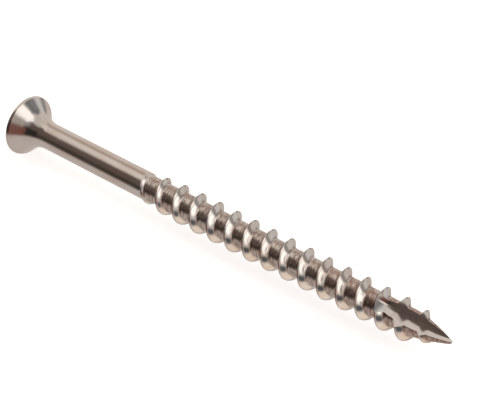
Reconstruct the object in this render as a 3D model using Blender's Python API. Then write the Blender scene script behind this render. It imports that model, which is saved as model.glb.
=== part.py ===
"""Countersunk wood screw: square recess, part thread, fluted point.

The screw is one piece of stainless wire with a cold-formed head and a rolled thread, so the
model is one solid. The screw's axis is the X axis. The origin is the centre of the head's flat
top face, that face lies in the plane X = 0, and the point is at X = LENGTH. Metres, +Z up.
"""

import math

import bmesh
import bpy

# Head
LENGTH = 0.0635
HEAD_DIAMETER = 0.0075
HEAD_RIM_HEIGHT = 0.00012
HEAD_EDGE_RADIUS = 0.00045
HEAD_CONE_HALF_ANGLE = math.radians(43.0)
HEAD_FILLET_RADIUS = 0.0040

# Shank, root and point
SHANK_DIAMETER = 0.0033
SHANK_END = 0.01995
SHOULDER_LENGTH = 0.00055
ROOT_DIAMETER = 0.0029
POINT_LENGTH = 0.0052
POINT_TIP_DIAMETER = 0.0004
POINT_BULGE = 1.5

# Thread
PITCH = 0.002654
THREAD_DIAMETER = 0.00454
THREAD_CREST_WIDTH = 0.00014
THREAD_CREST_ROUNDING = 0.00009
THREAD_HALF_ANGLE = math.radians(35.0)
THREAD_RUN_IN = 0.0026
THREAD_RUN_OUT = 0.0045
THREAD_END_TO_TIP = 0.0012
CREST_LINE_AT = 0.02225
CREST_LINE_ANGLE = math.radians(45.0)

# Square recess
RECESS_WIDTH = 0.00284
RECESS_DEPTH = 0.0026
RECESS_DRAFT = math.radians(1.5)
RECESS_CHAMFER = 0.0002
RECESS_FLOOR_DEPTH = 0.0006

# Flute that a wheel with a pointed edge cuts in the point
FLUTE_LENGTH = 0.0069
FLUTE_WHEEL_RADIUS = 0.0029
FLUTE_WALL_ANGLE = math.radians(45.0)
FLUTE_FLOOR_ANGLE = math.radians(50.0)
FLUTE_FACING = math.radians(135.0)
FLUTE_FLOOR = 0.00044
FLUTE_FLOOR_AT_TIP = -0.00008
FLUTE_OFFSET = 0.00053
FLUTE_OFFSET_AT_TIP = 0.00030

# How finely the round shapes are divided
BODY_SEGMENTS = 36
TURN_SEGMENTS = 20
ARC_STEPS = 6
POINT_STEPS = 8

# How far shapes run into each other before they are joined or cut
OVERLAP = 0.0002
CLEARANCE = 0.0010

STEEL_COLOUR = (0.56, 0.52, 0.48, 1.0)
STEEL_ROUGHNESS = 0.25


def clear_scene():
    for old in list(bpy.data.objects):
        bpy.data.objects.remove(old, do_unlink=True)


def steel():
    material = bpy.data.materials.new("stainless_steel")
    material.use_nodes = True
    shader = material.node_tree.nodes["Principled BSDF"]
    shader.inputs["Base Color"].default_value = STEEL_COLOUR
    shader.inputs["Metallic"].default_value = 1.0
    shader.inputs["Roughness"].default_value = STEEL_ROUGHNESS
    return material


def smooth_step(t):
    t = min(max(t, 0.0), 1.0)
    return t * t * (3.0 - 2.0 * t)


def core_radius(x):
    """Radius of the shank, the root and the point at a distance x from the head's face."""
    shank = SHANK_DIAMETER / 2.0
    root = ROOT_DIAMETER / 2.0
    tip = POINT_TIP_DIAMETER / 2.0
    if x < SHANK_END:
        return shank
    if x < SHANK_END + SHOULDER_LENGTH:
        return shank + (root - shank) * smooth_step((x - SHANK_END) / SHOULDER_LENGTH)
    along_point = (x - (LENGTH - POINT_LENGTH)) / POINT_LENGTH
    along_point = min(max(along_point, 0.0), 1.0)
    return tip + (root - tip) * (1.0 - along_point ** POINT_BULGE)


def head_outline():
    """Points (x, radius) from the rim of the face down the cone to the shank."""
    head = HEAD_DIAMETER / 2.0
    shank = SHANK_DIAMETER / 2.0
    half_angle = HEAD_CONE_HALF_ANGLE
    edge_end_x = HEAD_RIM_HEIGHT + HEAD_EDGE_RADIUS * math.sin(half_angle)
    edge_end_radius = head - HEAD_EDGE_RADIUS * (1.0 - math.cos(half_angle))
    fillet_start_radius = shank + HEAD_FILLET_RADIUS * (1.0 - math.cos(half_angle))
    cone_length = (edge_end_radius - fillet_start_radius) / math.tan(half_angle)
    fillet_end_x = edge_end_x + cone_length + HEAD_FILLET_RADIUS * math.sin(half_angle)
    points = [(0.0, head)]
    for step in range(ARC_STEPS + 1):
        turn = half_angle * step / ARC_STEPS
        x = HEAD_RIM_HEIGHT + HEAD_EDGE_RADIUS * math.sin(turn)
        points.append((x, head - HEAD_EDGE_RADIUS * (1.0 - math.cos(turn))))
    for step in range(ARC_STEPS + 1):
        turn = half_angle * (1.0 - step / ARC_STEPS)
        x = fillet_end_x - HEAD_FILLET_RADIUS * math.sin(turn)
        points.append((x, shank + HEAD_FILLET_RADIUS * (1.0 - math.cos(turn))))
    return points


def blank_outline():
    """Points (x, radius) of the whole turned shape without its thread."""
    points = head_outline()
    for step in range(ARC_STEPS + 1):
        x = SHANK_END + SHOULDER_LENGTH * step / ARC_STEPS
        points.append((x, core_radius(x)))
    for step in range(POINT_STEPS + 1):
        x = LENGTH - POINT_LENGTH * (1.0 - step / POINT_STEPS)
        points.append((x, core_radius(x)))
    return points


def object_from_rings(name, rings):
    """Closed mesh through rings of points, each ring with as many points as the others."""
    mesh = bmesh.new()
    loops = [[mesh.verts.new(point) for point in ring] for ring in rings]
    for near, far in zip(loops, loops[1:]):
        for index in range(len(near)):
            after = (index + 1) % len(near)
            mesh.faces.new((near[index], near[after], far[after], far[index]))
    mesh.faces.new(reversed(loops[0]))
    mesh.faces.new(loops[-1])
    bmesh.ops.recalc_face_normals(mesh, faces=mesh.faces)
    data = bpy.data.meshes.new(name)
    mesh.to_mesh(data)
    mesh.free()
    made = bpy.data.objects.new(name, data)
    bpy.context.scene.collection.objects.link(made)
    return made


def around_axis(x, radius, angle):
    return (x, radius * math.cos(angle), radius * math.sin(angle))


def turned_blank():
    """The head, shank, root and point as one turned shape."""
    turns = [2.0 * math.pi * step / BODY_SEGMENTS for step in range(BODY_SEGMENTS)]
    rings = []
    for x, radius in blank_outline():
        rings.append([around_axis(x, radius, turn) for turn in turns])
    return object_from_rings("wood_screw", rings)


def crest_radius(x):
    """Radius of the thread's crest, which grows out of the shank and dies away on the point."""
    end = LENGTH - THREAD_END_TO_TIP
    sunk = core_radius(x) - OVERLAP / 2.0
    rise = min(max((x - SHANK_END) / OVERLAP + 1.0, 0.0), 1.0)
    fall = math.sin(0.5 * math.pi * min(max((end - x) / THREAD_RUN_OUT, 0.0), 1.0))
    step = (SHANK_DIAMETER - ROOT_DIAMETER) / 2.0
    height = (THREAD_DIAMETER - ROOT_DIAMETER) / 2.0
    missing = (height - step) * math.exp(min((SHANK_END - x) / THREAD_RUN_IN, 0.0))
    full = height - missing + core_radius(max(x, SHANK_END + SHOULDER_LENGTH))
    return sunk + (full - sunk) * rise * fall


def thread_section(x, angle):
    """The ridge's outline where it passes x: two flanks and a rounded crest."""
    crest = crest_radius(x)
    slope = math.tan(THREAD_HALF_ANGLE)
    crest_half = THREAD_CREST_WIDTH / 2.0
    round_half = crest_half + THREAD_CREST_ROUNDING * slope
    base_half = crest_half + (crest - core_radius(x) + OVERLAP) * slope
    before = x - base_half
    after = x + base_half
    base = min(core_radius(before), core_radius(after)) - OVERLAP
    outline = [
        (before, base),
        (x - round_half, crest - THREAD_CREST_ROUNDING),
        (x - crest_half / 2.0, crest),
        (x + crest_half / 2.0, crest),
        (x + round_half, crest - THREAD_CREST_ROUNDING),
        (after, base),
    ]
    return [around_axis(along, radius, angle) for along, radius in outline]


def thread_ridge():
    """Right-hand helical ridge, from where it leaves the shank to where it ends on the point."""
    start = SHANK_END - OVERLAP
    end = LENGTH - THREAD_END_TO_TIP
    steps = round((end - start) / PITCH * TURN_SEGMENTS)
    sections = []
    for step in range(steps + 1):
        x = start + (end - start) * step / steps
        angle = CREST_LINE_ANGLE + 2.0 * math.pi * (x - CREST_LINE_AT) / PITCH
        sections.append(thread_section(x, angle))
    return object_from_rings("thread_ridge", sections)


def square_ring(x, width):
    half = width / 2.0
    return [(x, half, half), (x, -half, half), (x, -half, -half), (x, half, -half)]


def recess_cutter():
    """Square socket with a chamfered mouth, drafted walls and a pyramid floor."""
    mouth = RECESS_WIDTH + 2.0 * RECESS_CHAMFER
    floor = RECESS_WIDTH - 2.0 * (RECESS_DEPTH - RECESS_CHAMFER) * math.tan(RECESS_DRAFT)
    rings = [
        square_ring(-CLEARANCE, mouth + 2.0 * CLEARANCE),
        square_ring(RECESS_CHAMFER, RECESS_WIDTH),
        square_ring(RECESS_DEPTH, floor),
        square_ring(RECESS_DEPTH + RECESS_FLOOR_DEPTH, floor / ARC_STEPS),
    ]
    return object_from_rings("recess_cutter", rings)


def flute_section(x, floor, offset):
    """The pointed cut across the axis: its apex lies floor out from the axis, offset sideways."""
    reach = THREAD_DIAMETER
    wall = offset + (reach - floor) * math.tan(FLUTE_WALL_ANGLE)
    ledge = offset - (reach - floor) * math.tan(FLUTE_FLOOR_ANGLE)
    corners = [(floor, offset), (reach, wall), (reach, ledge)]
    out = (math.cos(FLUTE_FACING), math.sin(FLUTE_FACING))
    side = (out[1], -out[0])
    return [(x, o * out[0] + s * side[0], o * out[1] + s * side[1]) for o, s in corners]


def flute_cutter():
    """A straight pointed groove that ends in the arc of the wheel that cut it."""
    straight_start = LENGTH - FLUTE_LENGTH
    arc_rise = THREAD_DIAMETER / 2.0 + OVERLAP - FLUTE_FLOOR
    arc_turn = math.acos(max(1.0 - arc_rise / FLUTE_WHEEL_RADIUS, 0.0))
    rings = []
    for step in range(ARC_STEPS):
        turn = arc_turn * (1.0 - step / ARC_STEPS)
        x = straight_start - FLUTE_WHEEL_RADIUS * math.sin(turn)
        floor = FLUTE_FLOOR + FLUTE_WHEEL_RADIUS * (1.0 - math.cos(turn))
        rings.append(flute_section(x, floor, FLUTE_OFFSET))
    rings.append(flute_section(straight_start, FLUTE_FLOOR, FLUTE_OFFSET))
    past_tip = 1.0 + CLEARANCE / FLUTE_LENGTH
    floor = FLUTE_FLOOR + (FLUTE_FLOOR_AT_TIP - FLUTE_FLOOR) * past_tip
    offset = FLUTE_OFFSET + (FLUTE_OFFSET_AT_TIP - FLUTE_OFFSET) * past_tip
    rings.append(flute_section(LENGTH + CLEARANCE, floor, offset))
    return object_from_rings("flute_cutter", rings)


def combine(body, other, operation):
    """Joins other to body, or cuts it out of body, and hides it as a guide."""
    step = body.modifiers.new(other.name, "BOOLEAN")
    step.operation = operation
    step.solver = "EXACT"
    step.object = other
    other.hide_render = True
    other.display_type = "WIRE"


clear_scene()
screw = turned_blank()
screw.data.materials.append(steel())
screw.data.shade_smooth()
screw.data.set_sharp_from_angle(angle=math.radians(30.0))
combine(screw, thread_ridge(), "UNION")
combine(screw, recess_cutter(), "DIFFERENCE")
combine(screw, flute_cutter(), "DIFFERENCE")
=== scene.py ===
# %% [markdown]
# A wood screw is one length of stainless wire. A press forms its head, two flat dies roll its
# thread, a punch makes the square recess and a small grinding wheel cuts the flute in its point.
# The lesson follows the same order. It starts with the imported model, which gives the length and
# the width of the head.

# %% Load the frame
import math

import bmesh
import bpy
from mathutils import Matrix, Vector


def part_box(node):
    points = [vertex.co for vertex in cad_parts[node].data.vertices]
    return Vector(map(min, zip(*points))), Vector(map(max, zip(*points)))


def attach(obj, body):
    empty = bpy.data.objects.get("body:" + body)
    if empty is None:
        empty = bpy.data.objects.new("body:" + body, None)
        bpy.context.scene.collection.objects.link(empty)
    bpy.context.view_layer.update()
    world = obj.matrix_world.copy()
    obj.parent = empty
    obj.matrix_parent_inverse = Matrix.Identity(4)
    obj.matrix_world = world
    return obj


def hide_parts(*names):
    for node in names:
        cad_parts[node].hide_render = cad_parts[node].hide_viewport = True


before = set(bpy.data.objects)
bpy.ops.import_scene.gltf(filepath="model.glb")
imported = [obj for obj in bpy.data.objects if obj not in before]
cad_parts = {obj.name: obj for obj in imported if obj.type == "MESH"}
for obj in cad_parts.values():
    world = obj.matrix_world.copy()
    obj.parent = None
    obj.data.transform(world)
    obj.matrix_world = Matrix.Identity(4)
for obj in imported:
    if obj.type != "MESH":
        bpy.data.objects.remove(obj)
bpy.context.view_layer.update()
far_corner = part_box("wood_screw")[1]
LENGTH = far_corner.x
HEAD_RADIUS = far_corner.z
MM = 0.001
print("screw length", round(LENGTH / MM, 2), "mm, head", round(2 * HEAD_RADIUS / MM, 2), "mm")

# %% [markdown]
# The camera comes first, because every choice of shape and light is judged through it. It looks
# down on the screw from the point's side. A long lens far away keeps the thread's turns nearly
# the same size from the first to the last.

# %% Camera
AIM = Vector((0.035773, 0.0, 0.005378))
AZIMUTH = math.radians(40.617)
ELEVATION = math.radians(35.687)
DISTANCE = 0.208127
LENS_MM = 135.47
SENSOR_MM = 36.0
NEAREST_SEEN = 0.01


def direction(azimuth, elevation):
    """Unit vector towards a place seen from the screw: azimuth 0 is -Y, a quarter turn is +X."""
    flat = math.cos(elevation)
    return Vector((math.sin(azimuth) * flat, -math.cos(azimuth) * flat, math.sin(elevation)))


lens = bpy.data.cameras.new("camera")
lens.lens = LENS_MM
lens.sensor_width = SENSOR_MM
lens.clip_start = NEAREST_SEEN
camera = bpy.data.objects.new("camera", lens)
bpy.context.scene.collection.objects.link(camera)
towards_camera = direction(AZIMUTH, ELEVATION)
camera.location = AIM + DISTANCE * towards_camera
camera.rotation_euler = towards_camera.to_track_quat("Z", "Y").to_euler()
bpy.context.scene.camera = camera
print("camera", round(DISTANCE / MM), "mm away")

# %% [markdown]
# Node trees are easier to read when each node takes one line. These helpers make a node, set
# its options and feed its inputs, which may be numbers or the outputs of other nodes. The same
# helpers serve the geometry tree, the steel's finishes and the studio.

# %% Helpers for node trees
def feed(tree, socket, value):
    """Links a node's output to a socket, or sets the socket to a plain value."""
    if isinstance(value, bpy.types.NodeSocket):
        tree.links.new(value, socket)
    else:
        socket.default_value = value


def add(tree, kind, options=None, **inputs):
    """Makes a node; an input's name has _ for each space."""
    made = tree.nodes.new(kind)
    for name, value in (options or {}).items():
        setattr(made, name, value)
    for name, value in inputs.items():
        feed(tree, made.inputs[name.replace("_", " ")], value)
    return made


def maths(tree, operation, *values):
    """Output of a Math node."""
    made = add(tree, "ShaderNodeMath", {"operation": operation})
    for socket, value in zip(made.inputs, values):
        feed(tree, socket, value)
    return made.outputs[0]


def map_range(tree, *values, smooth=False):
    """Maps a value from one range to another: value, from start, from end, to start, to end."""
    made = add(tree, "ShaderNodeMapRange")
    if smooth:
        made.interpolation_type = "SMOOTHSTEP"
    for socket, given in zip(made.inputs, values):
        feed(tree, socket, given)
    return made.outputs[0]


def clamped_share(tree, value, start, end):
    """How far value has come from start to end, held between 0 and 1."""
    return map_range(tree, value, start, end)


print("helpers ready")

# %% [markdown]
# These sizes are the ones that the wire drawer and the rolling dies set. The wire's root is
# thinner than its shank, because the dies push steel out of the roots and up into the ridge. The
# shoulder, the rise and the run-in say how the ridge starts, and the run-out how it ends.

# %% Sizes of the wire and thread
SHANK_RADIUS = 1.65 * MM
ROOT_RADIUS = 1.45 * MM
CREST_RADIUS = 2.29 * MM
TIP_RADIUS = 0.20 * MM
PITCH = 2.654 * MM
SHANK_END = 19.95 * MM
SHOULDER = 0.55 * MM
POINT_LENGTH = 5.2 * MM
POINT_BULGE = 1.5
CREST_WIDTH = 0.14 * MM
CREST_ROUND = 0.26 * MM
ROOT_FILLET = 0.24 * MM
FLANK_ANGLE = math.radians(35.0)
RISE = 0.5 * MM
RUN_IN = 2.6 * MM
RUN_OUT = 4.5 * MM
THREAD_END_TO_TIP = 1.2 * MM
CREST_LINE_AT = 22.25 * MM
CREST_LINE_TURN = 0.125
POINTS_AROUND = 96
ROWS_PER_TURN = 32
STRIP_START = 19.0 * MM

first_row = CREST_LINE_AT - (CREST_LINE_TURN + 0.5) * PITCH
first_row -= math.ceil((first_row - STRIP_START) / PITCH + 1.0) * PITCH
strip_turns = math.ceil((LENGTH - first_row) / PITCH)
THREAD_SIZES = {
    "Turns": strip_turns, "Rows per turn": ROWS_PER_TURN, "Points around": POINTS_AROUND,
    "Length": LENGTH, "Strip start": STRIP_START, "First row": first_row, "Pitch": PITCH,
    "Shank radius": SHANK_RADIUS, "Root radius": ROOT_RADIUS, "Tip radius": TIP_RADIUS,
    "Shank end": SHANK_END, "Shoulder": SHOULDER, "Point length": POINT_LENGTH,
    "Point bulge": POINT_BULGE, "Crest radius": CREST_RADIUS, "Crest width": CREST_WIDTH,
    "Crest round": CREST_ROUND, "Root fillet": ROOT_FILLET, "Flank angle": FLANK_ANGLE,
    "Rise": RISE, "Run in": RUN_IN, "Run out": RUN_OUT, "End to tip": THREAD_END_TO_TIP,
}
print("strip of", strip_turns, "turns,", ROWS_PER_TURN * strip_turns, "rows")

# %% [markdown]
# Without its ridge the wire is round everywhere, so one number at each place along the axis says
# it all: full at the shank, a soft step down at the shoulder, level under the thread, and then a
# point that bulges like a bullet. A power of the way along gives the bulge. The rolled steel's
# finish uses this function again, to find the thread's roots.

# %% Radius of the wire
def wire_radius(tree, given, x):
    """Shank, soft shoulder, root and bulging point, without the ridge."""
    shoulder_end = maths(tree, "ADD", given["Shank end"], given["Shoulder"])
    stepped = map_range(
        tree, x, given["Shank end"], shoulder_end, given["Shank radius"], given["Root radius"],
        smooth=True,
    )
    point_start = maths(tree, "SUBTRACT", given["Length"], given["Point length"])
    along = clamped_share(tree, x, point_start, given["Length"])
    bulge = maths(tree, "SUBTRACT", 1.0, maths(tree, "POWER", along, given["Point bulge"]))
    body = maths(tree, "SUBTRACT", stepped, given["Tip radius"])
    return maths(tree, "MULTIPLY_ADD", body, bulge, given["Tip radius"])


print("wire", round(2 * SHANK_RADIUS / MM, 2), "mm, root", round(2 * ROOT_RADIUS / MM, 2), "mm")

# %% [markdown]
# The ridge doesn't start at full height. The dies lift it out of the shank over about a turn,
# quickly at first and then ever more slowly, which is what an exponential does. On the point it
# keeps its height over the wire, then dies away along a quarter of a sine wave.

# %% Radius of the crest
def crest_growth(tree, given, x):
    """Height of the ridge over the root: it starts level with the shank and grows to full."""
    past_shank = maths(tree, "SUBTRACT", given["Shank end"], x)
    waiting = maths(tree, "MINIMUM", maths(tree, "DIVIDE", past_shank, given["Run in"]), 0.0)
    still = maths(tree, "EXPONENT", waiting)
    over_shank = maths(tree, "SUBTRACT", given["Crest radius"], given["Shank radius"])
    height = maths(tree, "SUBTRACT", given["Crest radius"], given["Root radius"])
    return maths(tree, "SUBTRACT", height, maths(tree, "MULTIPLY", over_shank, still))


def crest_radius(tree, given, x):
    """The ridge climbs out of the shoulder quickly, stays full, and dies away on the point."""
    rise_start = maths(tree, "SUBTRACT", given["Shank end"], given["Rise"])
    rise = clamped_share(tree, x, rise_start, given["Shank end"])
    end = maths(tree, "SUBTRACT", given["Length"], given["End to tip"])
    run_out_start = maths(tree, "SUBTRACT", end, given["Run out"])
    left = maths(tree, "SUBTRACT", 1.0, clamped_share(tree, x, run_out_start, end))
    fall = maths(tree, "SINE", maths(tree, "MULTIPLY", left, math.pi / 2))
    shoulder_end = maths(tree, "ADD", given["Shank end"], given["Shoulder"])
    base = wire_radius(tree, given, maths(tree, "MAXIMUM", x, shoulder_end))
    sunk = maths(tree, "SUBTRACT", wire_radius(tree, given, x), given["Root fillet"])
    top = maths(tree, "ADD", base, crest_growth(tree, given, x))
    full = maths(tree, "SUBTRACT", top, sunk)
    return maths(tree, "MULTIPLY_ADD", full, maths(tree, "MULTIPLY", rise, fall), sunk)


print("crest", round(2 * CREST_RADIUS / MM, 2), "mm across")

# %% [markdown]
# The thread is a rule, so Geometry Nodes make it. Every size becomes a named input of the tree,
# so that a longer or finer thread is only a matter of other numbers. The tree begins with a flat
# grid: its rows will become the thread's rows, and its width one turn round the wire.

# %% Tree and grid
def new_tree(name, sizes):
    """Geometry tree with one named number input for each size."""
    tree = bpy.data.node_groups.new(name, "GeometryNodeTree")
    tree.interface.new_socket("Geometry", in_out="OUTPUT", socket_type="NodeSocketGeometry")
    for size, value in sizes.items():
        kind = "NodeSocketInt" if isinstance(value, int) else "NodeSocketFloat"
        tree.interface.new_socket(size, in_out="INPUT", socket_type=kind)
    tree.interface.new_socket("Steel", in_out="INPUT", socket_type="NodeSocketMaterial")
    return tree, tree.nodes.new("NodeGroupInput").outputs


def flat_grid(tree, given):
    """A grid one unit wide, with its places from -0.5 to 0.5 both ways."""
    rows = maths(tree, "MULTIPLY", given["Turns"], given["Rows per turn"])
    grid = add(tree, "GeometryNodeMeshGrid", Size_X=1.0, Size_Y=1.0)
    feed(tree, grid.inputs["Vertices X"], maths(tree, "ADD", rows, 1.0))
    feed(tree, grid.inputs["Vertices Y"], maths(tree, "ADD", given["Points around"], 1.0))
    place = add(tree, "GeometryNodeInputPosition").outputs[0]
    return grid.outputs["Mesh"], add(tree, "ShaderNodeSeparateXYZ", Vector=place).outputs


thread_tree, given = new_tree("threaded wire", THREAD_SIZES)
grid_mesh, flat = flat_grid(thread_tree, given)
print("thread tree has", len(THREAD_SIZES), "named sizes")

# %% [markdown]
# The grid is wrapped round the axis as a helical strip. After one turn each row meets the row
# one pitch further on, where they are welded. The crest and the root fillets keep their own rows
# all the way, so they stay crisp. A ridge could also be swept along a spiral and joined on, but
# it would leave a hard seam at the root, where rolled steel has a soft fillet. A smooth minimum
# rounds the crest here, and a smooth maximum makes the fillet.

# %% Wrap the grid into a thread
WELD = 0.002 * MM


def thread_radius(tree, given, x, from_crest):
    """Radius at x, where from_crest is the distance along the axis from the nearest crest."""
    crest = crest_radius(tree, given, maths(tree, "SUBTRACT", x, from_crest))
    half_width = maths(tree, "MULTIPLY", given["Crest width"], 0.5)
    beyond = maths(tree, "SUBTRACT", maths(tree, "ABSOLUTE", from_crest), half_width)
    drop = maths(tree, "DIVIDE", beyond, maths(tree, "TANGENT", given["Flank angle"]))
    flank = maths(tree, "SUBTRACT", crest, drop)
    ridge = maths(tree, "SMOOTH_MIN", crest, flank, given["Crest round"])
    return maths(tree, "SMOOTH_MAX", wire_radius(tree, given, x), ridge, given["Root fillet"])


def wrapped_place(tree, given, flat):
    """Place on the threaded wire of each place on the flat grid."""
    along = maths(tree, "MULTIPLY", maths(tree, "ADD", flat["X"], 0.5), given["Turns"])
    around = maths(tree, "ADD", flat["Y"], 0.5)
    turns = maths(tree, "ADD", along, around)
    x = maths(tree, "MULTIPLY_ADD", turns, given["Pitch"], given["First row"])
    x = maths(tree, "MAXIMUM", x, given["Strip start"])
    x = maths(tree, "MINIMUM", x, given["Length"])
    share = maths(tree, "SUBTRACT", maths(tree, "FRACT", along), 0.5)
    from_crest = maths(tree, "MULTIPLY", share, given["Pitch"])
    radius = thread_radius(tree, given, x, from_crest)
    turn = maths(tree, "MULTIPLY", around, 2 * math.pi)
    y = maths(tree, "MULTIPLY", radius, maths(tree, "COSINE", turn))
    z = maths(tree, "MULTIPLY", radius, maths(tree, "SINE", turn))
    return add(tree, "ShaderNodeCombineXYZ", X=x, Y=y, Z=z).outputs[0]


place = wrapped_place(thread_tree, given, flat)
wrap = add(thread_tree, "GeometryNodeSetPosition", Geometry=grid_mesh, Position=place)
weld = add(thread_tree, "GeometryNodeMergeByDistance", Geometry=wrap.outputs[0], Distance=WELD)
real = add(thread_tree, "GeometryNodeRealizeInstances", Geometry=weld.outputs[0])
dress = add(thread_tree, "GeometryNodeSetMaterial", Geometry=real.outputs[0])
feed(thread_tree, dress.inputs["Material"], given["Steel"])
add(thread_tree, "NodeGroupOutput", Geometry=dress.outputs[0])
print("thread tree has", len(thread_tree.nodes), "nodes")

# %% [markdown]
# A tree does nothing until an object carries it. The empty carrier gets the tree as a modifier,
# and each input is set by its identifier before the object is first evaluated. The result is
# kept as a plain mesh, because the head still has to be welded to it.

# %% Run the thread tree
def run_tree(name, tree, sizes, finish):
    """Runs a tree on an empty object and keeps the result as a plain mesh."""
    carrier = bpy.data.objects.new(name, bpy.data.meshes.new(name))
    bpy.context.scene.collection.objects.link(carrier)
    modifier = carrier.modifiers.new(name, "NODES")
    modifier.node_group = tree
    for item in tree.interface.items_tree:
        if item.in_out == "INPUT":
            modifier[item.identifier] = finish if item.name == "Steel" else sizes[item.name]
    seen = carrier.evaluated_get(bpy.context.evaluated_depsgraph_get())
    mesh = bpy.data.meshes.new_from_object(seen)
    carrier.modifiers.remove(modifier)
    carrier.data = mesh
    return carrier


steel = bpy.data.materials.new("rolled stainless steel")
screw = run_tree("steel_screw", thread_tree, THREAD_SIZES, steel)
print("threaded wire has", len(screw.data.polygons), "faces")

# %% [markdown]
# The head is upset from the same wire. Its outside is a short list of stretches: the rim, a
# rounded edge, a straight cone and a large fillet into the shank. The cone's length isn't given.
# It is what is left between the edge and the fillet, so the stretches always meet smoothly.

# %% Outline of the head
HEAD_RIM_HEIGHT = 0.12 * MM
HEAD_EDGE_RADIUS = 0.45 * MM
HEAD_CONE_ANGLE = math.radians(43.0)
HEAD_FILLET_RADIUS = 4.0 * MM
FACE_BREAK = 0.03 * MM
ARC_STEPS = 16
SHANK_RINGS = 12


def turned_in(radius, turn):
    """How far an arc of this radius has come in from its tangent after a turn."""
    return radius * (1 - math.cos(turn))


def head_outline():
    """Places (x, radius) from the edge of the face to the start of the thread strip."""
    edge_end = HEAD_RIM_HEIGHT + HEAD_EDGE_RADIUS * math.sin(HEAD_CONE_ANGLE)
    cone_top = HEAD_RADIUS - turned_in(HEAD_EDGE_RADIUS, HEAD_CONE_ANGLE)
    cone_foot = SHANK_RADIUS + turned_in(HEAD_FILLET_RADIUS, HEAD_CONE_ANGLE)
    fillet_start = edge_end + (cone_top - cone_foot) / math.tan(HEAD_CONE_ANGLE)
    fillet_end = fillet_start + HEAD_FILLET_RADIUS * math.sin(HEAD_CONE_ANGLE)
    turns = [HEAD_CONE_ANGLE * step / ARC_STEPS for step in range(ARC_STEPS + 1)]
    points = [(FACE_BREAK / 3, HEAD_RADIUS - FACE_BREAK / 3), (FACE_BREAK, HEAD_RADIUS)]
    for turn in turns:
        x = HEAD_RIM_HEIGHT + HEAD_EDGE_RADIUS * math.sin(turn)
        points.append((x, HEAD_RADIUS - turned_in(HEAD_EDGE_RADIUS, turn)))
    for turn in reversed(turns):
        x = fillet_end - HEAD_FILLET_RADIUS * math.sin(turn)
        points.append((x, SHANK_RADIUS + turned_in(HEAD_FILLET_RADIUS, turn)))
    for step in range(1, SHANK_RINGS + 1):
        x = fillet_end + (STRIP_START - fillet_end) * step / SHANK_RINGS
        points.append((x, SHANK_RADIUS))
    return points


print("head ends", round(head_outline()[-SHANK_RINGS - 1][0] / MM, 2), "mm from the face")

# %% [markdown]
# A square punch makes the recess. The real recess's sides bow inwards a little, probably because
# the steel springs back when the punch leaves. Each ring of the head's mesh is one outline round
# the axis: bowed squares inside the recess, and circles everywhere else. Every ring has as many
# points as the thread strip, so the last one welds to it.

# %% Rings of the recess and the face
RECESS_HALF = 1.42 * MM
RECESS_CHAMFER = 0.20 * MM
RECESS_DEPTH = 2.6 * MM
RECESS_FLOOR_DEPTH = 0.6 * MM
RECESS_DRAFT = math.radians(1.5)
RECESS_BOW = 0.06 * MM
FLOOR_RINGS = 4
WALL_RINGS = 12
FACE_RINGS = 8


def square_outline(half):
    """Distance from the axis to a square with bowed sides, at each point round it."""
    outline = []
    for step in range(POINTS_AROUND):
        turn = 2 * math.pi * step / POINTS_AROUND
        side = (turn + math.pi / 4) % (math.pi / 2) - math.pi / 4
        bow = RECESS_BOW * math.cos(2 * side) ** 2 if half > RECESS_HALF / 2 else 0.0
        outline.append((half - bow) / math.cos(side))
    return outline


def head_rings():
    """Rings (x, outline) from the middle of the recess floor out to the shank."""
    floor_half = RECESS_HALF - (RECESS_DEPTH - RECESS_CHAMFER) * math.tan(RECESS_DRAFT)
    rings = []
    for step in range(1, FLOOR_RINGS + 1):
        out = step / FLOOR_RINGS
        x = RECESS_DEPTH + RECESS_FLOOR_DEPTH * (1 - out)
        rings.append((x, square_outline(floor_half * out)))
    for step in range(1, WALL_RINGS + 1):
        up = step / WALL_RINGS
        x = RECESS_DEPTH + (RECESS_CHAMFER - RECESS_DEPTH) * up
        rings.append((x, square_outline(floor_half + (RECESS_HALF - floor_half) * up)))
    mouth = square_outline(RECESS_HALF + RECESS_CHAMFER)
    rings.append((0.0, mouth))
    face_edge = HEAD_RADIUS - FACE_BREAK
    for step in range(1, FACE_RINGS + 1):
        out = step / FACE_RINGS
        rings.append((0.0, [start + (face_edge - start) * out for start in mouth]))
    for x, radius in head_outline():
        rings.append((x, [radius] * POINTS_AROUND))
    return rings


print("head has", len(head_rings()), "rings of", POINTS_AROUND, "points")

# %% [markdown]
# Now the rings become faces and are welded to the threaded wire, so that the blank is one closed
# skin, as the real one is one piece of steel. The recess and the face get material slots of
# their own, because the tools leave them darker and duller than the rolled wire. The slots are
# filled before the mesh is written, since filling them afterwards would reset every face.

# %% Weld the head to the wire
ROLLED_SLOT, RECESS_SLOT, FACE_SLOT = 0, 1, 2
HEAD_WELD = 0.004 * MM
punched = bpy.data.materials.new("punched steel")
pressed = bpy.data.materials.new("pressed steel")


def ring_points(x, outline):
    """Places round the axis at x, with a radius for each."""
    turn = 2 * math.pi / POINTS_AROUND
    return [(x, r * math.cos(k * turn), r * math.sin(k * turn)) for k, r in enumerate(outline)]


def slot_of(ring):
    """Material slot of the band that follows a ring."""
    recess_bands = FLOOR_RINGS + WALL_RINGS
    if ring < recess_bands - 1:
        return RECESS_SLOT
    return FACE_SLOT if recess_bands <= ring < recess_bands + FACE_RINGS else ROLLED_SLOT


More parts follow.
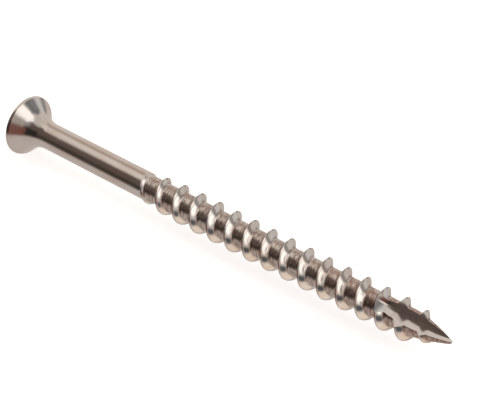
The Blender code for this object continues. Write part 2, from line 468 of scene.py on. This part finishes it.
body = bmesh.new()
body.from_mesh(screw.data)
for face in body.faces:
    face.material_index = ROLLED_SLOT
loops = [[body.verts.new(p) for p in ring_points(x, outline)] for x, outline in head_rings()]
centre = body.verts.new((RECESS_DEPTH + RECESS_FLOOR_DEPTH, 0.0, 0.0))
for k in range(POINTS_AROUND):
    after = (k + 1) % POINTS_AROUND
    body.faces.new((centre, loops[0][k], loops[0][after])).material_index = RECESS_SLOT
    for ring, (near, far) in enumerate(zip(loops, loops[1:])):
        band = body.faces.new((near[k], far[k], far[after], near[after]))
        band.material_index = slot_of(ring)
bmesh.ops.remove_doubles(body, verts=body.verts, dist=HEAD_WELD)
bmesh.ops.contextual_create(body, geom=[e for e in body.edges if e.is_boundary])
bmesh.ops.recalc_face_normals(body, faces=body.faces)
open_edges = sum(not e.is_manifold for e in body.edges)
screw.data.materials.clear()
for finish in (steel, punched, pressed):
    screw.data.materials.append(finish)
body.to_mesh(screw.data)
body.free()
print("blank has", len(screw.data.polygons), "faces,", open_edges, "open edges")

# %% [markdown]
# The flute is the groove that lets the point drill its own hole. A small wheel with a pointed
# edge grinds it, so it is a straight valley, a little more open on its lower side, that ends in
# the wheel's arc. The cutter's sections follow that wheel: an arc on the way in, then a straight
# run that comes nearer to the axis towards the tip.

# %% Path of the grinding wheel
FLUTE_LENGTH = 6.9 * MM
FLUTE_WHEEL_RADIUS = 2.9 * MM
FLUTE_FACING = math.radians(135.0)
FLUTE_WALL_ANGLE = math.radians(45.0)
FLUTE_FLOOR_ANGLE = math.radians(50.0)
FLUTE_FLOOR = 0.44 * MM
FLUTE_FLOOR_AT_TIP = -0.08 * MM
FLUTE_OFFSET = 0.53 * MM
FLUTE_OFFSET_AT_TIP = 0.30 * MM
FLUTE_REACH = 4.5 * MM
CLEAR_OF_CREST = 0.2 * MM
PAST_TIP = 1.0 * MM
WHEEL_STEPS = 24


def valley(x, floor, offset):
    """Three corners of the wheel's edge where it passes x: the apex and two outer corners."""
    out = Vector((0, math.cos(FLUTE_FACING), math.sin(FLUTE_FACING)))
    side = Vector((0, out.z, -out.y))
    along = Vector((x, 0, 0))
    wall = offset + (FLUTE_REACH - floor) * math.tan(FLUTE_WALL_ANGLE)
    ledge = offset - (FLUTE_REACH - floor) * math.tan(FLUTE_FLOOR_ANGLE)
    reach = along + out * FLUTE_REACH
    return [along + out * floor + side * offset, reach + side * wall, reach + side * ledge]


def flute_sections():
    """Sections of the cutter, from where the wheel enters the thread to past the tip."""
    start = LENGTH - FLUTE_LENGTH
    depth = CREST_RADIUS + CLEAR_OF_CREST - FLUTE_FLOOR
    arc = math.acos(1 - depth / FLUTE_WHEEL_RADIUS)
    sections = []
    for step in range(WHEEL_STEPS):
        turn = arc * (1 - step / WHEEL_STEPS)
        floor = FLUTE_FLOOR + turned_in(FLUTE_WHEEL_RADIUS, turn)
        x = start - FLUTE_WHEEL_RADIUS * math.sin(turn)
        sections.append(valley(x, floor, FLUTE_OFFSET))
    sections.append(valley(start, FLUTE_FLOOR, FLUTE_OFFSET))
    past = 1 + PAST_TIP / FLUTE_LENGTH
    floor = FLUTE_FLOOR + (FLUTE_FLOOR_AT_TIP - FLUTE_FLOOR) * past
    offset = FLUTE_OFFSET + (FLUTE_OFFSET_AT_TIP - FLUTE_OFFSET) * past
    sections.append(valley(LENGTH + PAST_TIP, floor, offset))
    return sections


print("cutter has", len(flute_sections()), "sections")

# %% [markdown]
# A Boolean modifier cuts the flute, as the wheel does, because the cut has to pass through
# whatever turns of the thread lie in its way and leave sharp edges on them. The cut faces take
# over the cutter's own material, which becomes the ground finish. Smooth shading then rounds
# the small steps of the mesh, and edges over a set angle stay sharp.

# %% Cut the flute
SHARP_ANGLE = math.radians(32.0)


def mesh_through(name, sections):
    """Closed mesh through sections that all have the same number of points."""
    work = bmesh.new()
    loops = [[work.verts.new(p) for p in section] for section in sections]
    for near, far in zip(loops, loops[1:]):
        for k in range(len(near)):
            after = (k + 1) % len(near)
            work.faces.new((near[k], near[after], far[after], far[k]))
    work.faces.new(loops[0])
    work.faces.new(loops[-1])
    bmesh.ops.recalc_face_normals(work, faces=work.faces)
    mesh = bpy.data.meshes.new(name)
    work.to_mesh(mesh)
    work.free()
    made = bpy.data.objects.new(name, mesh)
    bpy.context.scene.collection.objects.link(made)
    return made


ground = bpy.data.materials.new("ground steel")
wheel = mesh_through("flute_wheel", flute_sections())
wheel.data.materials.append(ground)
cut = screw.modifiers.new("flute", "BOOLEAN")
cut.operation = "DIFFERENCE"
cut.solver = "EXACT"
cut.material_mode = "TRANSFER"
cut.object = wheel
seen = screw.evaluated_get(bpy.context.evaluated_depsgraph_get())
fluted = bpy.data.meshes.new_from_object(seen)
screw.modifiers.clear()
screw.data = fluted
bpy.data.objects.remove(wheel)
fluted.shade_smooth()
fluted.set_sharp_from_angle(angle=SHARP_ANGLE)
print("screw has", len(fluted.polygons), "faces")

# %% [markdown]
# All of the screw is one steel, but each tool leaves its own finish. The drawn shank keeps faint
# lines along the wire. The dies leave wrinkles round the thread's root and press scale into it,
# and they polish the flanks; the roots are also painted darker as shade. The recess is darker
# than the rest, the press leaves the face matt, and the wheel leaves fine lines in the flute.
# Every pattern is a noise on Object coordinates in millimetres, squeezed or stretched along the
# axis, so no seam shows anywhere round the wire.

# %% Helpers for metal
EVEN = (1.0, 1.0, 1.0)


def grain(tree, place, per_mm, stretch=EVEN, detail=3.0):
    """Noise with per_mm marks in a millimetre, longer along each axis where stretch is small."""
    scaled = add(tree, "ShaderNodeVectorMath", {"operation": "MULTIPLY"})
    feed(tree, scaled.inputs[0], place)
    feed(tree, scaled.inputs[1], stretch)
    noise = add(tree, "ShaderNodeTexNoise", Scale=per_mm / MM, Detail=detail)
    feed(tree, noise.inputs["Vector"], scaled.outputs[0])
    return noise.outputs[0]


def mixed(tree, under, over, share):
    """One colour over another; a plain colour has three numbers."""
    mix = add(tree, "ShaderNodeMix", {"data_type": "RGBA"})
    colours = [sock for sock in mix.inputs if sock.type == "RGBA"]
    feed(tree, mix.inputs["Factor"], share)
    for socket, colour in zip(colours, (under, over)):
        feed(tree, socket, (*colour, 1.0) if isinstance(colour, tuple) else colour)
    return next(sock for sock in mix.outputs if sock.type == "RGBA")


def between(tree, share, start, end):
    """A number that goes from start to end as share goes from 0 to 1."""
    return maths(tree, "MULTIPLY_ADD", share, end - start, start)


def start_metal(material):
    """Makes a material metallic and gives its tree, its shader and its Object coordinates."""
    material.use_nodes = True
    tree = material.node_tree
    shader = tree.nodes["Principled BSDF"]
    shader.inputs["Metallic"].default_value = 1.0
    return tree, shader, add(tree, "ShaderNodeTexCoord").outputs["Object"]


def set_finish(tree, shader, colour, roughness, heights):
    """Heights are pairs of a pattern and its depth in metres."""
    feed(tree, shader.inputs["Base Color"], colour)
    feed(tree, shader.inputs["Roughness"], roughness)
    total = 0.0
    for pattern, depth in heights:
        total = maths(tree, "MULTIPLY_ADD", pattern, depth, total)
    bump = add(tree, "ShaderNodeBump", Height=total, Distance=1.0)
    feed(tree, shader.inputs["Normal"], bump.outputs["Normal"])


print("metal helpers ready")

# %% [markdown]
# First, where is the thread's root? It could be painted by hand, but the steel already knows:
# its distance from the axis, less the radius that the wire has without its ridge, is close to
# nothing in a root and grows on a flank. The shank has no ridge at all, so it is left out.

# %% Find the roots
ROOT_TOP = 0.28 * MM
ROOT_BOTTOM = 0.04 * MM
CLEAN_SHOULDER = 0.4 * MM
FULL_SCALE = 1.2 * MM

tree, shader, place = start_metal(steel)
sides = add(tree, "ShaderNodeSeparateXYZ", Vector=place).outputs
squares = maths(tree, "MULTIPLY", sides["Z"], sides["Z"])
from_axis = maths(tree, "SQRT", maths(tree, "MULTIPLY_ADD", sides["Y"], sides["Y"], squares))
bare_wire = wire_radius(tree, THREAD_SIZES, sides["X"])
above_wire = maths(tree, "SUBTRACT", from_axis, bare_wire)
on_thread = clamped_share(tree, sides["X"], SHANK_END + CLEAN_SHOULDER, SHANK_END + FULL_SCALE)
off_thread = maths(tree, "SUBTRACT", 1.0, on_thread)
low_down = clamped_share(tree, above_wire, ROOT_TOP, ROOT_BOTTOM)
in_root = maths(tree, "MULTIPLY", on_thread, low_down)
print("roots reach", round(ROOT_TOP / MM, 2), "mm up the flanks")

# %% [markdown]
# Rolled steel is bright with a warm tint that comes and goes in long clouds. The roots are
# painted
# darker: partly the scale that lies there, where nothing polishes it off, and partly painted
# shade for the shadow that falls between the ridges. It looks darker and redder towards the
# point. Its marks are a wrinkle noise with a finer noise of pits on top, so that their edges are
# ragged. A plain darker root would be simpler, but it would look painted.

# %% Rolled steel
CLEAN_STEEL = (0.64, 0.61, 0.58)
WARM_STEEL = (0.60, 0.53, 0.48)
# Root colours: real scale together with painted shade for the shadow between the ridges
ROOT_SCALE_AND_SHADE = (0.34, 0.25, 0.21)
POINT_SCALE_AND_SHADE = (0.34, 0.22, 0.18)
POINT_TINT_START = LENGTH - 16.0 * MM
POINT_TINT_END = LENGTH - 7.0 * MM
RAGGED = 0.6
MORE_AT_POINT = 0.06
LEAST_SCALE_AND_SHADE = 0.06
SCALE_ROUGHNESS = 0.16
MARKS_SHOW = (0.68, 0.92)
WARM_CLOUDS = (0.45, 0.65)
DRAWN_ROUGHNESS = (0.11, 0.21)
DRAW_LINE_DEPTH = 0.004 * MM
WRINKLE_DEPTH = 0.005 * MM
ROOT_WRINKLE_DEPTH = 0.022 * MM
PIT_DEPTH = 0.001 * MM
CLOUD_DEPTH = 0.010 * MM

draw_lines = grain(tree, place, 4.0, (0.015, 1.0, 1.0))
clouds = grain(tree, place, 0.5, (0.35, 1.0, 1.0), 2.0)
wrinkles = grain(tree, place, 4.5, (1.0, 0.30, 0.30), 4.0)
pits = grain(tree, place, 9.0)
near_point = clamped_share(tree, sides["X"], POINT_TINT_START, POINT_TINT_END)
marks = maths(tree, "MULTIPLY_ADD", near_point, MORE_AT_POINT, wrinkles)
marks = maths(tree, "MULTIPLY_ADD", pits, RAGGED, marks)
# Mask of the roots' darker colour: partly real scale, partly painted shade
scale_and_shade = clamped_share(tree, marks, *MARKS_SHOW)
scale_and_shade = maths(tree, "MULTIPLY", in_root, between(tree, scale_and_shade, LEAST_SCALE_AND_SHADE, 1.0))
bright = mixed(tree, CLEAN_STEEL, WARM_STEEL, clamped_share(tree, clouds, *WARM_CLOUDS))
# The roots take the darker colour: scale with painted shade on top
colour = mixed(tree, bright, mixed(tree, ROOT_SCALE_AND_SHADE, POINT_SCALE_AND_SHADE, near_point), scale_and_shade)
roughness = between(tree, draw_lines, *DRAWN_ROUGHNESS)
roughness = maths(tree, "MULTIPLY_ADD", scale_and_shade, SCALE_ROUGHNESS, roughness)
set_finish(tree, shader, colour, roughness, (
    (maths(tree, "MULTIPLY", draw_lines, off_thread), DRAW_LINE_DEPTH),
    (wrinkles, WRINKLE_DEPTH),
    (maths(tree, "MULTIPLY", wrinkles, in_root), ROOT_WRINKLE_DEPTH),
    (pits, PIT_DEPTH),
    (clouds, CLOUD_DEPTH),
))
print("rolled steel has", len(tree.nodes), "nodes")

# %% [markdown]
# The face is pressed flat by the punch holder, so it is grey and evenly grained like fine cast
# metal. A polished face would be simpler, but it would look black or white all over, because a
# flat mirror shows only one small part of the room.

# %% Pressed face
FACE_PALE = (0.40, 0.41, 0.41)
FACE_DARK = (0.25, 0.255, 0.26)
SPECKLES_SHOW = (0.35, 0.65)
PRESSED_ROUGHNESS = (0.32, 0.56)
SPECKLE_DEPTH = 0.006 * MM
SMEAR_DEPTH = 0.010 * MM

tree, shader, place = start_metal(pressed)
speckle = grain(tree, place, 12.0)
smears = grain(tree, place, 0.9, (1.0, 1.0, 0.4))
colour = mixed(tree, FACE_DARK, FACE_PALE, clamped_share(tree, speckle, *SPECKLES_SHOW))
roughness = between(tree, smears, *PRESSED_ROUGHNESS)
set_finish(tree, shader, colour, roughness, ((speckle, SPECKLE_DEPTH), (smears, SMEAR_DEPTH)))
print("pressed face has", len(tree.nodes), "nodes")

# %% [markdown]
# The recess is darker than the rest and brown gold in places. The punch drags its marks along the
# axis, so their noise is stretched that way, and a coarser noise of patches shifts the tint.

# %% Punched recess
RECESS_GOLD = (0.52, 0.40, 0.27)
RECESS_BROWN = (0.13, 0.085, 0.05)
RECESS_PATCH_SHARE = 0.6
GOLD_SHOWS = (0.58, 0.98)
PUNCHED_ROUGHNESS = (0.20, 0.40)
DRAG_DEPTH = 0.014 * MM
RECESS_PATCH_DEPTH = 0.010 * MM

tree, shader, place = start_metal(punched)
drag_marks = grain(tree, place, 5.0, (0.12, 1.0, 1.0))
recess_patches = grain(tree, place, 1.6)
tint = maths(tree, "MULTIPLY_ADD", recess_patches, RECESS_PATCH_SHARE, drag_marks)
colour = mixed(tree, RECESS_BROWN, RECESS_GOLD, clamped_share(tree, tint, *GOLD_SHOWS))
roughness = between(tree, drag_marks, *PUNCHED_ROUGHNESS)
set_finish(tree, shader, colour, roughness, ((drag_marks, DRAG_DEPTH), (recess_patches, RECESS_PATCH_DEPTH)))
print("punched recess has", len(tree.nodes), "nodes")

# %% [markdown]
# The flute is cut after the thread is rolled, so its steel is fresh and clean. The wheel leaves
# fine straight lines along it, far finer than the wrinkles in the roots. A slow, shallow wave
# under them makes the reflections drift along the flute, as they do on a surface that isn't
# quite flat.

# %% Ground flute
GROUND_PALE = (0.78, 0.76, 0.74)
GROUND_DULL = (0.62, 0.57, 0.54)
GROUND_ROUGHNESS = (0.10, 0.26)
WHEEL_LINE_DEPTH = 0.0015 * MM
DRIFT_DEPTH = 0.016 * MM

tree, shader, place = start_metal(ground)
wheel_lines = grain(tree, place, 14.0, (0.05, 1.0, 1.0), 2.0)
drift = grain(tree, place, 1.2)
colour = mixed(tree, GROUND_DULL, GROUND_PALE, drift)
roughness = between(tree, wheel_lines, *GROUND_ROUGHNESS)
set_finish(tree, shader, colour, roughness, (
    (wheel_lines, WHEEL_LINE_DEPTH), (drift, DRIFT_DEPTH),
))
print("ground flute has", len(tree.nodes), "nodes")

# %% [markdown]
# The studio is a world shader: soft panels placed by azimuth and elevation round the screw.
# Polished metal needs dark places to mirror as well as bright ones, so there is a bright panel
# off the point's end, paler walls behind, and an unlit room on the camera's side. Lamps could
# light the same scene, but a mirror-like thread would show them as hard dots. Each row lies over
# the rows before it.

# %% Panels of the studio
PANELS = [
    # name, azimuth, elevation, half width, half height, softness (degrees), colour
    ("back wall", 180, 30, 50, 34, 12, (0.80, 0.77, 0.74)),
    ("left wall", -110, 42, 55, 60, 14, (0.82, 0.74, 0.68)),
    ("beige cloth", -130, 40, 16, 9, 5, (0.58, 0.46, 0.39)),
    ("pale shelf", -85, 61, 28, 9, 4, (0.98, 0.89, 0.81)),
    ("dark room", -5, 22, 52, 42, 8, (0.15, 0.115, 0.10)),
    ("low shade", -38, 0, 26, 10, 5, (0.07, 0.06, 0.055)),
    ("black corner", 10, 8, 26, 20, 8, (0.035, 0.033, 0.032)),
    ("red wood", 38, -2, 10, 17, 5, (0.24, 0.10, 0.08)),
    ("grey screen", 48, 40, 14, 14, 8, (0.42, 0.40, 0.38)),
    ("warm table", 94, -56, 46, 24, 12, (1.12, 0.99, 0.86)),
    ("slate gap", 75, -16, 18, 12, 5, (0.10, 0.11, 0.125)),
    ("upper panel", 84, 54, 30, 15, 6, (1.60, 1.52, 1.46)),
    ("bright panel", 96, 13, 20, 16, 4, (1.90, 1.82, 1.74)),
    ("grey gap", 128, 20, 9, 30, 6, (0.34, 0.31, 0.30)),
    ("slate shelf", 138, 46, 22, 9, 5, (0.21, 0.21, 0.22)),
    ("slate shelf end", 156, 36, 10, 8, 5, (0.22, 0.22, 0.23)),
    ("dark horizon", 179, 2, 11, 8, 5, (0.34, 0.32, 0.31)),
]
CEILING = (0.72, 0.66, 0.62)
TABLE = (0.66, 0.59, 0.55)
TABLE_EDGE = -22.0
TABLE_EDGE_SOFT = 6.0
WHITE = (1.0, 1.0, 1.0)
print("studio has", len(PANELS), "panels")

# %% [markdown]
# The shader turns each way out of the scene into an azimuth and an elevation, and lays one
# panel after another over the ceiling's colour. A panel is the product of two soft edges. The
# camera itself sees plain white behind the screw, so only the metal mirrors the room.

# %% Studio
world = bpy.data.worlds.new("studio")
world.use_nodes = True
studio = world.node_tree
studio.nodes.clear()
outward = add(studio, "ShaderNodeTexCoord").outputs["Generated"]
way = add(studio, "ShaderNodeSeparateXYZ", Vector=outward).outputs
azimuth = maths(studio, "ARCTAN2", way["X"], maths(studio, "MULTIPLY", way["Y"], -1.0))
elevation = maths(studio, "ARCSINE", way["Z"])


def soft_edge(distance, half, soft):
    """1 inside half, 0 outside, with a soft edge; half and soft are in degrees."""
    inner = math.radians(half - soft)
    outer = math.radians(half + soft)
    return map_range(studio, distance, inner, outer, 1.0, 0.0, smooth=True)


def panel(under, at, up, half_width, half_height, soft, colour):
    """Lays one soft panel over the light under it."""
    across = maths(studio, "SUBTRACT", azimuth, math.radians(at))
    across = maths(studio, "ABSOLUTE", maths(studio, "WRAP", across, math.pi, -math.pi))
    tall = maths(studio, "ABSOLUTE", maths(studio, "SUBTRACT", elevation, math.radians(up)))
    wide_edge = soft_edge(across, half_width, soft)
    tall_edge = soft_edge(tall, half_height, soft)
    return mixed(studio, under, colour, maths(studio, "MULTIPLY", wide_edge, tall_edge))


from_below = maths(studio, "ADD", elevation, math.pi / 2)
light = mixed(studio, CEILING, TABLE, soft_edge(from_below, 90 + TABLE_EDGE, TABLE_EDGE_SOFT))
for name, *measures in PANELS:
    light = panel(light, *measures)
seen_directly = add(studio, "ShaderNodeLightPath").outputs["Is Camera Ray"]
light = mixed(studio, light, WHITE, seen_directly)
background = add(studio, "ShaderNodeBackground", Color=light)
add(studio, "ShaderNodeOutputWorld", Surface=background.outputs[0])
bpy.context.scene.world = world
bpy.context.scene.view_settings.view_transform = "Standard"
print("studio has", len(studio.nodes), "nodes")

# %% [markdown]
# The screw lies on a plain white floor, on the rim of its head. The floor glows a little, so it
# stays as white as the ground around it and keeps only a faint shadow. It is hidden from
# reflections, because the studio already holds the table that the steel should mirror.

# %% Floor
FLOOR_SIZE = 2.0
FLOOR_WHITE = (0.9, 0.9, 0.9)
FLOOR_GLOW = 0.65

work = bmesh.new()
under_middle = Matrix.Translation((LENGTH / 2, 0, -HEAD_RADIUS))
bmesh.ops.create_grid(work, x_segments=1, y_segments=1, size=FLOOR_SIZE / 2, matrix=under_middle)
floor_mesh = bpy.data.meshes.new("floor")
work.to_mesh(floor_mesh)
work.free()
floor = bpy.data.objects.new("floor", floor_mesh)
bpy.context.scene.collection.objects.link(floor)
floor.visible_glossy = False
paper = bpy.data.materials.new("white paper")
paper.use_nodes = True
sheet = paper.node_tree.nodes["Principled BSDF"]
sheet.inputs["Base Color"].default_value = (*FLOOR_WHITE, 1.0)
sheet.inputs["Roughness"].default_value = 1.0
sheet.inputs["Specular IOR Level"].default_value = 0.0
sheet.inputs["Emission Color"].default_value = (*WHITE, 1.0)
sheet.inputs["Emission Strength"].default_value = FLOOR_GLOW
floor_mesh.materials.append(paper)
print("floor at", round(-HEAD_RADIUS / MM, 2), "mm")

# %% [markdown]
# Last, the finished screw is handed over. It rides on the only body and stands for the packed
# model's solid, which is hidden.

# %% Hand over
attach(screw, "root")
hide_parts("wood_screw")
